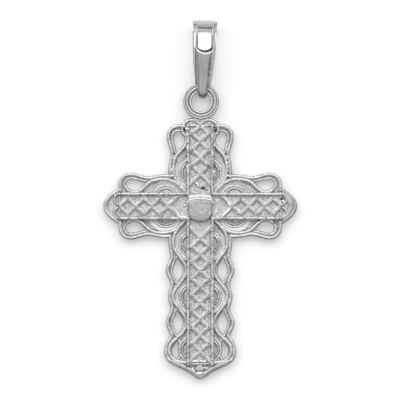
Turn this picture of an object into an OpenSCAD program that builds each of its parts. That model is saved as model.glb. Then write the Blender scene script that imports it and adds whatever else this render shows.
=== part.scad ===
// Pierced cross pendant, lying on its face with its back up: one casting with its ring, and a bail
// that is linked through the ring.
// Units are millimetres. X runs across the cross, Y up the post towards the bail, Z up from the table.
// An arm is drawn along +X: a place on it is [along, out], along from the middle of the cross and out
// from the arm's middle line.

/* [Bars] */
// Distance from a bar's middle line to the crest of its rails
rail_offset = 1.02; // [0.95:0.01:1.1]
// Half of a rail's width
rail_half = 0.1; // [0.08:0.01:0.12]
// Length of the three short arms, to the rail that closes their panel
short_panel = 6.84; // [6.8:0.01:6.9]
// Length of the foot, to the rail that closes its panel
foot_panel = 13.4; // [13.35:0.01:13.45]
// Distance between two crossings of the trellis along a bar
trellis_pitch = 1.375; // [1.365:0.005:1.39]
// Distance from the middle of the cross to the first crossing
trellis_start = 2.74; // [2.7:0.01:2.8]

/* [Border wires] */
// Half of the width of a border wire at its foot
wire_half = 0.14; // [0.12:0.01:0.16]
// Half of the width of its crest
crest_half = 0.05; // [0.04:0.01:0.08]
// Distance from a fan of the foot to the next one
fan_pitch = 4.49; // [4.4:0.01:4.6]
// Place of the first fan along the foot
foot_fan = 3.19; // [3.15:0.01:3.25]
// Place of the fan along a short arm
short_fan = 2.92; // [2.85:0.01:3]
// Radius of the small arch inside a fan
arch_r = 0.84; // [0.8:0.01:0.88]
// Distance of the arch's centre from the bar's middle line
arch_out = 0.71; // [0.68:0.01:0.74]

/* [Ends of the arms] */
// Radius of the crest of the two lobes over the top arm's end
top_lobe_r = 0.82; // [0.8:0.01:0.84]
// Distance of those lobes' centres from the middle line
top_lobe_out = 0.71; // [0.68:0.01:0.74]
// How far their centres stand back from the closing rail
lobe_back = 0.33; // [0.3:0.01:0.36]
// Distance of the lobes' centres from the middle line at the foot's end
foot_lobe_out = 0.95; // [0.92:0.01:0.98]
// Radius of the small lobes at the ends of the two side arms
side_lobe_r = 0.48; // [0.44:0.01:0.52]
// Distance of those lobes' centres from the middle line
side_lobe_out = 0.58; // [0.54:0.01:0.62]

/* [Heights above the table] */
// Underside of the border
border_low = 0.18; // [0.12:0.01:0.22]
// Ground of the border
border_ground = 0.54; // [0.5:0.01:0.58]
// Crest of the border wires
border_crest = 0.84; // [0.8:0.01:0.88]
// Underside of the bars, between the rails of the front
panel_low = 0.1; // [0.06:0.01:0.14]
// Ground of the panels in the bars
panel_ground = 0.88; // [0.85:0.01:0.92]
// Crest of the trellis
trellis_crest = 1.08; // [1.02:0.01:1.12]
// Crest of the rails
rail_crest = 1.16; // [1.12:0.01:1.2]
// Face of the plain pad in the middle
pad_top = 1.26; // [1.2:0.01:1.3]

/* [Ring] */
// Distance of the ring's centre from the middle of the cross
ring_along = 8.88; // [8.84:0.01:8.92]
// How far the ring stands to the right of the middle line
ring_side = 0.08; // [0:0.01:0.1]
// Outer radius of the ring
ring_outer = 1.51; // [1.48:0.01:1.54]
// Radius of the ring's hole
ring_hole = 0.83; // [0.8:0.01:0.85]
// Height of the ring's middle above the table
ring_mid = 0.72; // [0.71:0.01:0.73]

/* [Bail] */
// Distance of the bail's lower end from the middle of the cross
bail_low = 9.15; // [9.12:0.01:9.18]
// Length of the bail
bail_len = 6.62; // [6.5:0.01:6.7]
// Width of the bail's front leaf at the fold
bail_w = 2.08; // [2:0.01:2.2]
// Width of the back leaf at the fold
back_w = 1.5; // [1.45:0.01:1.55]
// Thickness of the bail's metal at its ends
bail_wall = 0.3; // [0.28:0.01:0.31]
// Outer radius of the fold that the chain passes through
fold_r = 1.25; // [1.15:0.01:1.3]
// Outer radius of the bend that holds the ring
bend_r = 0.72; // [0.71:0.01:0.74]
// Turn of the bail from straight, as it lies
bail_turn = 2; // [1:0.5:3]
// Width of the window in the back leaf
window_w = 1.13; // [1.1:0.01:1.16]
// How far the window reaches down from the fold's axis
window_down = 1.32; // [1.28:0.01:1.4]
// How far the window reaches up from the fold's axis, into the fold
window_up = 0.6; // [0.5:0.01:0.65]

/* [Hidden] */
metal = [0.8, 0.8, 0.81];
bail_metal = [0.74, 0.74, 0.75];

// Each table holds places along a wire or an edge, in the columns [along, out]
// Outer border wire of a short arm, from the corner between two arms to the ear's end
short_outer = [
    [2.55, 2.55], [3.02, 2.57], [3.70, 2.49], [4.34, 2.37], [4.89, 2.46], [5.44, 2.62],
    [5.90, 2.69], [6.34, 2.60], [6.66, 2.32], [6.80, 1.94], [6.82, 1.60], [6.78, 1.36],
];
// Outer wire round the pointed end of a side arm, on one side
side_tip = [[6.80, 1.42], [7.18, 1.20], [7.60, 0.88], [7.93, 0.50], [8.08, 0.14]];
// Winding wire of a short arm, from the middle of the cross over the fan to the rail and the ear
short_winding = [
    [1.19, 1.12], [2.00, 1.90], [2.47, 2.16], [3.02, 2.28], [3.57, 2.26], [3.99, 2.17],
    [4.33, 2.00], [4.62, 1.74], [4.91, 1.46], [5.23, 1.24], [5.55, 1.15], [5.84, 1.19],
    [6.14, 1.36], [6.40, 1.62], [6.56, 1.90],
];
// Edge of the opening in the ear of a short arm
ear_opening = [
    [4.49, 1.97], [4.95, 2.08], [5.45, 2.20], [5.88, 2.27], [6.20, 2.16], [6.33, 1.86],
    [6.18, 1.54], [5.88, 1.28], [5.54, 1.15], [5.18, 1.30], [4.83, 1.62],
];
// Outer border wire of the foot, before and after its even scallops
foot_outer_start = [[2.55, 2.55], [3.05, 2.56], [3.60, 2.52], [4.25, 2.40]];
foot_outer_end = [
    [11.05, 2.41], [11.60, 2.74], [12.33, 2.92], [12.88, 2.79], [13.27, 2.42], [13.58, 1.83],
    [13.84, 1.24], [14.10, 0.80], [14.40, 0.40], [14.56, 0.14],
];
// Winding wire of the foot, before and after its even waves
foot_winding_start = [[1.12, 1.19], [1.94, 1.92], [2.47, 2.18]];
foot_winding_end = [
    [10.80, 1.52], [11.18, 1.93], [11.56, 2.34], [11.99, 2.60], [12.41, 2.64], [12.82, 2.46],
    [13.10, 2.14], [13.26, 1.74], [13.32, 1.18],
];
// Edge of the opening in the last loop of the foot
crescent_opening = [
    [11.46, 1.90], [11.80, 2.22], [12.20, 2.40], [12.60, 2.36], [12.92, 2.16], [13.00, 1.96],
    [12.70, 1.84], [12.25, 1.84], [11.80, 1.84],
];

steps = 1;                        // steps between two points of a wire
wave_mid = 1.73;                  // middle of the winding wire's waves
wave_high = 0.57;                 // height of those waves
scallop_mid = 2.54;               // middle of the outer wire's scallops
scallop_high = 0.148;             // height of the scallops
scallop_swell = 0.085;            // how much further the scallops beside a loop reach than the others
rim_outer = 0.44;                 // from the outer wire's crest to an opening
rim_inner = 0.31;                 // from the winding wire's crest to an opening
lap = 0.03;                       // how far one piece of a bar runs into the next
brim = 0.03;                      // how far the border stands out past the foot of its wires
rim_half = 0.1;                   // half of the width of an opening's raised rim
rim_crest = 0.7;                  // height of the rim above the table
short_last = 3;                   // last crossing of a short arm's trellis, counted from 0: on its closing rail
foot_last = 7;                    // last crossing of the foot's trellis
foot_reach = 0.93;                // how far the bars run on from there, to the rails
foot_tip = 14.723;                // the foot's tip, outside its wire
bail_top = bail_low + bail_len;
bail_bend_along = bail_low + bend_r;
bail_fold_along = bail_top - fold_r;
front_side_r = 37;                // radius of the bowed sides of the bail's front leaf
back_side_r = 62;                 // radius of the bowed sides of its back leaf
flat = 0.995;                     // the leaves' flats stand this share of the bends' radii out
front_high = 0.8;                 // height to which the bail has the front leaf's width
bail_end_r = 0.37;                // radius of the bail's rounded lower end, seen from above
bail_neck = 0.36;                 // half of the bail's width just above that end
neck_slope = 3;                   // how far the neck runs for each millimetre that a side widens
window_end_r = 0.72;              // radius of the window's lower edge
bail_pivot = [0.2, bail_low];     // where the bend hangs in the ring, a little to the right
turned_top = bail_low + bail_len * cos(bail_turn) + (back_w / 2) * sin(bail_turn);
cross_y = (foot_tip - turned_top) / 2;

// A smooth curve through the points, with each span cut into steps
function on_curve(a, b, c, d, u) =
    0.5 * (2 * b + (c - a) * u + (2 * a - 5 * b + 4 * c - d) * u * u
        + (3 * b - a - 3 * c + d) * u * u * u);
function smooth(points, n = steps) = [
    for (i = [0:len(points) - 2], k = [0:n - 1])
        on_curve(points[max(i - 1, 0)], points[i], points[i + 1], points[min(i + 2, len(points) - 1)], k / n),
    points[len(points) - 1],
];
function smooth_ring(points, n = steps) = [
    for (i = [0:len(points) - 1], k = [0:n - 1])
        on_curve(points[(i + len(points) - 1) % len(points)], points[i], points[(i + 1) % len(points)],
            points[(i + 2) % len(points)], k / n),
];
function arc(centre, r, from, to, n) = [
    for (i = [0:n]) centre + r * [cos(from + (to - from) * i / n), sin(from + (to - from) * i / n)]
];

// The waves of the foot's two border wires
function wave_turn(along) = 360 * (along - foot_fan) / fan_pitch;
function winding(along) = wave_mid + wave_high * cos(wave_turn(along));
function scallop(along) =
    scallop_mid + scallop_high * cos(2 * wave_turn(along)) - scallop_swell * cos(wave_turn(along));

wave_step = fan_pitch / 12;
foot_outer = concat(
    smooth(foot_outer_start, steps),
    [for (i = [4:20]) [foot_fan + i * wave_step, scallop(foot_fan + i * wave_step)]],
    smooth(foot_outer_end, steps));
foot_winding = concat(
    smooth(foot_winding_start, steps),
    [for (i = [0:19]) [foot_fan + i * wave_step, winding(foot_fan + i * wave_step)]],
    smooth(foot_winding_end, steps));

// A wire that runs round an arm's tip to the arm's other side
function round_tip(path) = concat(path, [for (i = [len(path) - 1:-1:0]) [path[i][0], -path[i][1]]]);

// Direction out to the left of a path at one of its points
function left_of(path, i, closed) =
    let (
        n = len(path),
        before = path[closed ? (i + n - 1) % n : max(i - 1, 0)],
        after = path[closed ? (i + 1) % n : min(i + 1, n - 1)],
        run = after - before
    ) [-run[1], run[0]] / norm(run);

// A ridge along a path: wide at its foot, narrow at its crest
module ridge(path, half, top_half, low, high, closed = false) {
    n = len(path);
    points = [
        for (i = [0:n - 1])
            let (p = path[i], side = left_of(path, i, closed))
                each [
                    [p[0] + side[0] * half, p[1] + side[1] * half, low],
                    [p[0] + side[0] * top_half, p[1] + side[1] * top_half, high],
                    [p[0] - side[0] * top_half, p[1] - side[1] * top_half, high],
                    [p[0] - side[0] * half, p[1] - side[1] * half, low],
                ],
    ];
    sides = [
        for (i = [0:n - (closed ? 1 : 2)], k = [0:3])
            let (j = (i + 1) % n, m = (k + 1) % 4)
                each [[4 * i + k, 4 * j + k, 4 * j + m], [4 * i + k, 4 * j + m, 4 * i + m]],
    ];
    ends = closed ? [] : [[0, 1, 2, 3], [4 * n - 1, 4 * n - 2, 4 * n - 3, 4 * n - 4]];
    polyhedron(points, concat(sides, ends), convexity = 10);
}

// Flat strip of a wire's full width
module strip(path, half) {
    n = len(path);
    polygon(concat(
        [for (i = [0:n - 1]) path[i] + half * left_of(path, i, false)],
        [for (i = [n - 1:-1:0]) path[i] - half * left_of(path, i, false)]));
}

// A small flat-topped post, two of which are hulled into a straight bar
module post(place, half, top_half, low, high) {
    translate([place[0], place[1], low]) rotate(45)
        cylinder(r1 = half * sqrt(2), r2 = top_half * sqrt(2), h = high - low, $fn = 4);
}

module bar(from, to, half, top_half, low, high) {
    hull() {
        post(from, half, top_half, low, high);
        post(to, half, top_half, low, high);
    }
}

module both_sides() {
    children();
    mirror([0, 1, 0]) children();
}

module short_arms() {
    for (turn = [0, 90, 180]) rotate(turn) children();
}

module foot() {
    rotate(-90) children();
}

// Outline of the border on one side of an arm, from the middle line to the outer wire
module border_side(outer) {
    polygon(concat([[0, 0]], outer, [[outer[len(outer) - 1][0], 0]]));
    strip(outer, wire_half + brim);
}

// Outline of the border round an arm's tip
module border_tip(outer) {
    polygon(concat([[0, 0]], round_tip(outer)));
    strip(round_tip(outer), wire_half + brim);
}

// Edge of the opening in loop i of the foot, between the winding wire and the outer wire
function loop_edge(i) =
    let (
        from = foot_fan + (i + 0.27) * fan_pitch,
        to = foot_fan + (i + 0.73) * fan_pitch,
        spots = [for (k = [0:6]) from + (to - from) * k / 6]
    ) concat(
        [for (k = [0:6]) [spots[k], scallop(spots[k]) - rim_outer]],
        [for (k = [5:-1:1]) [spots[k], min(winding(spots[k]) + rim_inner, scallop(spots[k]) - rim_outer - 0.03)]]);

// Flat outline of the two lobes at an arm's end
module lobe_discs(panel, r, out) {
    for (side = [-1, 1]) translate([panel - lobe_back, side * out]) circle(r + wire_half + brim, $fn = 24);
}

// The pierced plate that carries the border
module border_plate() {
    translate([0, 0, border_low]) linear_extrude(border_ground - border_low) difference() {
        union() {
            short_arms() both_sides() border_side(smooth(short_outer));
            rotate(90) lobe_discs(short_panel, top_lobe_r, top_lobe_out);
            for (turn = [0, 180]) rotate(turn) border_tip(side_tip);
            foot() border_tip(foot_outer);
        }
        short_arms() both_sides() polygon(smooth_ring(ear_opening));
        foot() both_sides() {
            for (i = [0, 1]) polygon(loop_edge(i));
            polygon(smooth_ring(crescent_opening));
        }
    }
}

module wire(path) {
    ridge(path, wire_half, crest_half, border_low + 0.1, border_crest);
}

// The raised rim of an opening, just outside its edge
module rim(edge) {
    path = [for (i = [0:len(edge) - 1]) edge[i] + (rim_half + 0.01) * left_of(edge, i, true)];
    ridge(path, rim_half, 0.03, border_low + 0.1, rim_crest, true);
}

// The arch inside a fan, on its raised shoulder
module fan(along, shoulder) {
    spread = acos((rail_offset - arch_out) / arch_r);
    wire(arc([along, arch_out], arch_r, 90 - spread, 90 + spread, 6));
    translate([along, arch_out, border_low + 0.1])
        cylinder(r = arch_r + shoulder, h = border_ground - border_low - 0.02, $fn = 20);
}

module lobes(along, r, out, from, to) {
    both_sides() wire(arc([along, out], r, from, to, 7));
}

module short_border() {
    both_sides() {
        wire(smooth(short_outer));
        wire(smooth(short_winding));
        fan(short_fan, 0.2);
        rim(smooth_ring(ear_opening));
    }
}

module side_end() {
    wire(round_tip(side_tip));
    lobes(short_panel, side_lobe_r, side_lobe_out, 95, -95);
}

// The two lobes of the top arm's end run a little past the middle line, so that their wires join there
module top_end() {
    lobes(short_panel - lobe_back, top_lobe_r, top_lobe_out, 100, -asin(top_lobe_out / top_lobe_r) - 3);
}

module foot_border() {
    wire(round_tip(foot_outer));
    both_sides() {
        wire(foot_winding);
        for (i = [0, 1]) fan(foot_fan + i * fan_pitch, 0.2);
        fan(foot_fan + 2 * fan_pitch, 0.26);
        rim(smooth_ring(crescent_opening));
        for (i = [0, 1]) rim(loop_edge(i));
    }
    lobes(foot_panel - lobe_back, top_lobe_r, foot_lobe_out, 55, -25);
    translate([foot_panel + 0.36, 0, border_low]) cylinder(r1 = 0.42, r2 = 0.3, h = 0.68, $fn = 12);
}

// One arm of the raised bars: ground, rails, the rail that closes the panel, and the trellis
module bar_arm(panel, last, last_reach) {
    half = rail_offset + lap;
    inner = rail_offset - lap;
    translate([0, -half, panel_low]) cube([panel + lap, 2 * half, panel_ground - panel_low]);
    for (side = [-1, 1])
        bar([inner, side * rail_offset], [panel - lap, side * rail_offset], rail_half, 0.06, 0, rail_crest);
    bar([panel, -inner], [panel, inner], rail_half, 0.06, 0, rail_crest);
    trellis(last, last_reach);
}

// One straight bar of the trellis
module strand(from, to) {
    bar(from, to, 0.125, 0, panel_ground - 0.05, trellis_crest);
}

// The trellis: zigzag bars that cross on the middle line, with a stub to the rail where two of them meet.
// The last crossing reaches last_reach further along.
module trellis(last, last_reach) {
    reach = trellis_pitch / 2;
    to_rail = rail_offset - 0.07;
    for (i = [0:last], side = [-1, 1]) {
        mid = trellis_start + i * trellis_pitch;
        from = i == 0 ? to_rail : reach;
        to = i == last ? last_reach : reach;
        strand([mid - from, -side * from], [mid + to, side * to]);
        if (i < last) strand([mid + reach, side * reach], [mid + reach, side * to_rail]);
    }
}

// The plain pad in the middle
module pad() {
    w = 2;
    h = 2.1;
    depth = pad_top - panel_ground + 0.1;
    translate([0, -0.15, panel_ground - 0.1]) hull() for (x = [-1, 1]) {
        translate([x * (w / 2 - 0.35), h / 2 - 0.35, 0]) cylinder(r1 = 0.35, r2 = 0.24, h = depth, $fn = 20);
        translate([x * (w / 2 - 0.55), 0.55 - h / 2, 0]) cylinder(r1 = 0.55, r2 = 0.44, h = depth, $fn = 20);
    }
}

// The ring on the top arm: a thick outer wire and a thin inner one, on a web of solder
module ring() {
    outer_wire = 0.25;
    inner_wire = 0.13;
    translate([ring_side, ring_along, ring_mid]) rotate_extrude($fn = 32) {
        translate([ring_outer - outer_wire, 0]) scale([1, 1.28]) circle(outer_wire, $fn = 8);
        translate([ring_hole + inner_wire, 0]) scale([1, 1.6]) circle(inner_wire, $fn = 6);
        translate([ring_hole + inner_wire, -0.15]) square([ring_outer - outer_wire - ring_hole - inner_wire, 0.3]);
    }
    translate([0, 0, 0.3]) linear_extrude(0.5)
        polygon([[-0.85, 7.2], [0.85, 7.2], [0.62 + ring_side, 7.6], [ring_side - 0.62, 7.6]]);
}

module cross() {
    color(metal) translate([0, cross_y, 0]) {
        border_plate();
        short_arms() {
            short_border();
            bar_arm(short_panel, short_last, -0.05);
        }
        for (turn = [0, 180]) rotate(turn) side_end();
        rotate(90) top_end();
        foot() {
            foot_border();
            bar_arm(foot_panel, foot_last, foot_reach);
        }
        pad();
        ring();
    }
}

// Seen from the side, the bail is a band round two circles that both stand on the table
function mirrored(p, a, b) =
    let (along = (b - a) / norm(b - a), foot = a + ((p - a) * along) * along) 2 * foot - p;

module loop_side(bend, fold) {
    a = [bail_bend_along, bend_r];
    b = [bail_fold_along, fold_r];
    p = [a[0], a[1] - flat * bend];
    q = [b[0], b[1] - flat * fold];
    polygon([p, q, mirrored(q, a, b), mirrored(p, a, b)]);
    translate(a) circle(bend, $fn = 64);
    translate(b) circle(fold, $fn = 64);
}

module bail_outline(half, side_r) {
    intersection() {
        intersection_for (side = [-1, 1])
            translate([side * (side_r - half), bail_top]) circle(side_r, $fn = 200);
        translate([0, bail_low + bail_end_r]) {
            circle(bail_end_r, $fn = 40);
            polygon([
                [bail_neck, 0], [2, (2 - bail_neck) * neck_slope], [2, bail_len],
                [-2, bail_len], [-2, (2 - bail_neck) * neck_slope], [-bail_neck, 0],
            ]);
        }
    }
}

module window() {
    translate([0, bail_fold_along, fold_r]) linear_extrude(3) intersection() {
        translate([-window_w / 2, -window_down - 1]) square([window_w, window_down + 1 + window_up]);
        union() {
            translate([0, window_end_r - window_down]) circle(window_end_r, $fn = 48);
            translate([-1, window_end_r - window_down]) square([2, 3]);
        }
    }
}

module bail() {
    color(bail_metal) translate([bail_pivot[0], bail_pivot[1] + cross_y, 0]) rotate(-bail_turn)
        translate([0, -bail_low, 0]) difference() {
            intersection() {
                rotate([90, 0, 90]) translate([0, 0, -2]) linear_extrude(4) difference() {
                    loop_side(bend_r, fold_r);
                    loop_side(bend_r - bail_wall, fold_r - bail_wall);
                }
                union() {
                    translate([0, 0, -0.5]) linear_extrude(front_high + 0.5)
                        bail_outline(bail_w / 2, front_side_r);
                    translate([0, 0, -1]) linear_extrude(4) bail_outline(back_w / 2, back_side_r);
                }
            }
            window();
        }
}

cross();
bail();
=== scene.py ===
# %% [markdown]
# # A pierced cross pendant, lying on its face
# The pendant is one small casting in white metal: a cross of four bars with a trellis between two rails,
# and a pierced border of winding wires. A bail hangs in the ring of its top arm.
# It is modelled here in millimetres round the middle of the cross, and each finished piece is scaled
# to metres and set where the CAD has it. An arm is drawn along +X: a place on it is [along, out].

# %% The CAD frame
import math
import random

import bmesh
import bpy
from mathutils import Matrix, Vector, noise


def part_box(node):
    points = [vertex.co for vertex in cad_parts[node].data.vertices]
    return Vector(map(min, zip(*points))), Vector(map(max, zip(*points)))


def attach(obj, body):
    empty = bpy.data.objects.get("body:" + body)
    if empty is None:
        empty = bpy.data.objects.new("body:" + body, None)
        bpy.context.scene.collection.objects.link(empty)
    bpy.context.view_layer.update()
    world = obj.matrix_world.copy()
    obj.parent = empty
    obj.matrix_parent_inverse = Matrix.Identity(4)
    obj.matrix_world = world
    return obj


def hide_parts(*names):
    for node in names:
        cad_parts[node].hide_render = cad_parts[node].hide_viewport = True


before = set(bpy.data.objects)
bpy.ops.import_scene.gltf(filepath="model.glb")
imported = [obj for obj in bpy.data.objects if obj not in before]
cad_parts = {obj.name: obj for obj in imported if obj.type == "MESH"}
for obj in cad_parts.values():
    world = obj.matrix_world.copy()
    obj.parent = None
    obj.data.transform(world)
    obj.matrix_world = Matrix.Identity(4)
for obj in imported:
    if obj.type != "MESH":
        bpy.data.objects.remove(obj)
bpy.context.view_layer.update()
METRES = 0.001                       # one millimetre
FOOT_TIP = 14.723                    # from the middle of the cross to the foot's tip
MIDDLE_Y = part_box("cross")[0].y / METRES + FOOT_TIP
print("the cross's middle is at y", round(MIDDLE_Y, 4), "mm")

# %% [markdown]
# ## The camera
# The photograph looks straight down on a pale table. A short lens close by would show the sides of
# the bars, so the camera is a long lens, 42 cm away. The frame is 34 mm wide.

# %% Camera
FRAME_WIDTH = 34.0                   # of the table that the picture shows, in millimetres
CAMERA_HIGH = 420.0
AIM = Vector((-0.017, -0.008, 0.8))  # what the middle of the picture shows
lens = bpy.data.cameras.new("camera")
lens.sensor_width = 36.0
lens.lens = lens.sensor_width * CAMERA_HIGH / FRAME_WIDTH
lens.clip_start, lens.clip_end = 0.01, 10.0
camera = bpy.data.objects.new("camera", lens)
camera.location = (AIM + Vector((0, 0, CAMERA_HIGH))) * METRES
bpy.context.scene.collection.objects.link(camera)
bpy.context.scene.camera = camera
print("focal length", round(lens.lens), "mm")

# %% [markdown]
# ## Writing shaders as sums
# A material is a graph of small nodes. Placing each by hand hides the thought, so this class wraps a
# socket: an expression such as 1 - grain * 0.3 adds the Math nodes that it needs.


# %% Shader sums
class Socket:
    """A socket of a node tree that can be used in sums."""

    def __init__(self, sheet, socket):
        self.sheet, self.socket = sheet, socket

    def sum(self, operation, *values):
        return self.sheet.add("ShaderNodeMath", {"operation": operation}, *values)

    def __add__(self, other):
        return self.sum("ADD", self, other)

    def __sub__(self, other):
        return self.sum("SUBTRACT", self, other)

    def __rsub__(self, other):
        return self.sum("SUBTRACT", other, self)

    def __mul__(self, other):
        return self.sum("MULTIPLY", self, other)

    def __truediv__(self, other):
        return self.sum("DIVIDE", self, other)

    def size(self):
        return self.sum("ABSOLUTE", self)

    def root(self):
        return self.sum("SQRT", self)

    def between(self, low, high):
        """0 below low, 1 above high, and a smooth rise in between."""
        how = {"interpolation_type": "SMOOTHSTEP"}
        return self.sheet.add("ShaderNodeMapRange", how, self, low, high, 0.0, 1.0)

    def band(self, start, full, fade, end):
        """1 between full and fade, and a smooth fall to 0 at start and end."""
        return self.between(start, full) * (1 - self.between(fade, end))

    __radd__ = __add__
    __rmul__ = __mul__


class Sheet:
    """A node tree that nodes are added to."""

    def __init__(self, tree):
        self.tree = tree
        tree.nodes.clear()

    def add(self, kind, settings, *values, out=0, at=None, **named):
        """Adds a node: its settings, then values or links of its sockets in order, by number or by name."""
        node = self.tree.nodes.new(kind)
        for key, value in settings.items():
            if key == "stops":
                for stop in range(len(value) - 2):
                    node.color_ramp.elements.new(0.5)
                for element, (place, grey) in zip(node.color_ramp.elements, value):
                    element.position, element.color = place, (grey, grey, grey, 1)
            else:
                setattr(node, key, value)
        by_name = {name.replace("_", " "): value for name, value in named.items()}
        for key, value in [*enumerate(values), *(at or {}).items(), *by_name.items()]:
            socket = node.inputs[key]
            if isinstance(value, Socket):
                self.tree.links.new(value.socket, socket)
            else:
                socket.default_value = value
        return Socket(self, node.outputs[out]) if node.outputs else node

    def parts(self, vector):
        """The X, Y and Z of a vector."""
        return [self.add("ShaderNodeSeparateXYZ", {}, vector, out=k) for k in range(3)]

    def place(self):
        """Place on the piece, in millimetres."""
        spot = self.add("ShaderNodeTexCoord", {}, out=3)
        return self.add("ShaderNodeVectorMath", {"operation": "SCALE"}, spot, Scale=1 / METRES)

    def flat_distance(self, x, y, middle):
        """Distance from a middle line that stands upright."""
        spot = self.add("ShaderNodeCombineXYZ", {}, x, y, 0.0)
        return self.add("ShaderNodeVectorMath", {"operation": "DISTANCE"}, spot, (*middle, 0.0), out=1)

    def specks(self, vector, scale, detail=2.0, roughness=0.5):
        return self.add("ShaderNodeTexNoise", {}, Vector=vector, Scale=scale, Detail=detail,
                        Roughness=roughness)

    def stretch(self, vector, scale):
        return self.add("ShaderNodeMapping", {}, Vector=vector, Scale=scale)

    def mix(self, share, a, b):
        """Mixes two colours by a share. A plain number is a grey."""
        a, b = (v if isinstance(v, Socket) else (v, v, v * 1.01, 1) for v in (a, b))
        return self.add("ShaderNodeMix", {"data_type": "RGBA"}, out=2, at={0: share, 6: a, 7: b})


def metal(name, write):
    """A metal made by a recipe, write(sheet)."""
    material = bpy.data.materials.new(name)
    material.use_nodes = True
    sheet = Sheet(material.node_tree)
    colour, roughness, height, depth = write(sheet)
    bump = sheet.add("ShaderNodeBump", {}, Strength=1.0, Distance=depth * METRES, Height=height)
    shader = sheet.add("ShaderNodeBsdfPrincipled", {}, Base_Color=colour, Metallic=1.0, Roughness=roughness,
                       Normal=bump)
    sheet.add("ShaderNodeOutputMaterial", {}, shader)
    return material


# %% [markdown]
# ## Named sizes
# These are the part's own sizes, so each wire lies where the CAD has it. A half is half of a width, a
# crest is the height of a top above the table, and R is a radius.

# %% Sizes
ARMS = {"right": 0, "top": 90, "left": 180, "foot": -90}
SHORT_ARMS = ("right", "top", "left")
RAIL_OFFSET, RAIL_HALF = 1.03, 0.15
SHORT_PANEL, FOOT_PANEL = 6.84, 13.4
TRELLIS_PITCH, TRELLIS_START = 1.375, 2.74
FAN_PITCH, FOOT_FAN, SHORT_FAN = 4.49, 3.19, 2.92
ARCH_R, ARCH_OUT = 0.84, 0.71
LOBE_R, LOBE_OUT, LOBE_BACK = 0.82, 0.71, 0.33
BORDER_LOW, BORDER_GROUND, BORDER_CREST, RIM_CREST, FAN_FLOOR = 0.18, 0.60, 0.84, 0.74, 0.69
PANEL_LOW, PANEL_GROUND, TRELLIS_CREST, RAIL_CREST, PAD_TOP = 0.1, 0.92, 1.08, 1.16, 1.26
FRONT_CREST = 0.02                   # height of the front's wires above the table
WIRE_HALF, WINDING_HALF, THIN_HALF = 0.17, 0.18, 0.13
print("the bars are", 2 * (RAIL_OFFSET + RAIL_HALF), "mm wide")

# %% [markdown]
# The tables hold places along a wire or an edge in the columns [along, out]. The foot's wires are
# tables only where they leave its wave.

# %% Edges and wires
SHORT_OUTER = [
    (2.55, 2.55), (3.02, 2.57), (3.70, 2.49), (4.34, 2.37), (4.89, 2.46), (5.44, 2.62),
    (5.90, 2.69), (6.34, 2.60), (6.66, 2.32), (6.80, 1.94), (6.82, 1.60), (6.78, 1.36),
]
SIDE_TIP = [(6.80, 1.42), (7.18, 1.20), (7.60, 0.88), (7.93, 0.50), (8.07, 0.14)]
SHORT_WINDING = [
    (1.19, 1.12), (2.00, 1.90), (2.47, 2.16), (3.02, 2.28), (3.57, 2.26), (3.99, 2.17),
    (4.33, 2.00), (4.62, 1.74), (4.91, 1.46), (5.23, 1.24), (5.55, 1.15), (5.84, 1.19),
    (6.14, 1.36),
]
EAR_OPENING = [
    (4.49, 1.97), (4.95, 2.08), (5.45, 2.20), (5.88, 2.27), (6.20, 2.16), (6.33, 1.86),
    (6.18, 1.54), (5.88, 1.28), (5.54, 1.15), (5.18, 1.30), (4.83, 1.62),
]
FOOT_OUTER_START = [(2.55, 2.55), (3.05, 2.56), (3.60, 2.52), (4.25, 2.40)]
FOOT_OUTER_END = [
    (11.05, 2.41), (11.60, 2.74), (12.33, 2.92), (12.88, 2.79), (13.27, 2.42), (13.58, 1.83),
    (13.84, 1.24), (14.10, 0.80), (14.40, 0.40), (14.55, 0.14),
]
FOOT_WINDING_START = [(1.12, 1.19), (1.94, 1.92), (2.47, 2.18)]
FOOT_WINDING_END = [
    (10.80, 1.52), (11.18, 1.93), (11.56, 2.34), (11.99, 2.60), (12.41, 2.64), (12.82, 2.46),
    (13.10, 2.14), (13.26, 1.74), (13.32, 1.18),
]
RIGHT_BROAD = [(6.95, 1.00), (7.30, 0.84), (7.58, 0.50), (7.70, 0.12)]
FOOT_BROAD = [(13.20, 2.34), (13.50, 1.78), (13.76, 1.20), (14.02, 0.75), (14.30, 0.36), (14.42, 0.12)]
CRESCENT_OPENING = [
    (11.46, 1.90), (11.80, 2.22), (12.20, 2.40), (12.60, 2.36), (12.92, 2.16), (13.00, 1.96),
    (12.70, 1.84), (12.25, 1.84), (11.80, 1.84),
]


def wave_turn(along):
    """Angle of the foot's wave, which turns once from fan to fan."""
    return math.tau * (along - FOOT_FAN) / FAN_PITCH


def winding(along):
    """How far out the foot's winding wire runs."""
    return 1.73 + 0.57 * math.cos(wave_turn(along))


def scallop(along):
    """How far out the foot's outer wire runs."""
    return 2.54 + 0.148 * math.cos(2 * wave_turn(along)) - 0.085 * math.cos(wave_turn(along))


WAVE_SPOTS = [FOOT_FAN + i * FAN_PITCH / 12 for i in range(21)]
FOOT_OUTER = FOOT_OUTER_START + [(a, scallop(a)) for a in WAVE_SPOTS[4:]] + FOOT_OUTER_END
FOOT_WINDING = FOOT_WINDING_START + [(a, winding(a)) for a in WAVE_SPOTS[:20]] + FOOT_WINDING_END


def loop_opening(i):
    """Edge of the opening in loop i of the foot."""
    spots = [FOOT_FAN + (i + 0.27 + 0.46 * k / 6) * FAN_PITCH for k in range(7)]
    outer = [(a, scallop(a) - 0.44) for a in spots]
    return outer + [(a, min(winding(a) + 0.31, scallop(a) - 0.47)) for a in spots[5:0:-1]]


def arc_places(along, out, r, start, end, count=14):
    """Places on an arc round (along, out), with its angles in degrees from the arm's direction."""
    turns = [math.radians(start + (end - start) * k / count) for k in range(count + 1)]
    return [(along + r * math.cos(t), out + r * math.sin(t)) for t in turns]


print("foot wire through", len(FOOT_OUTER), "places")

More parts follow.
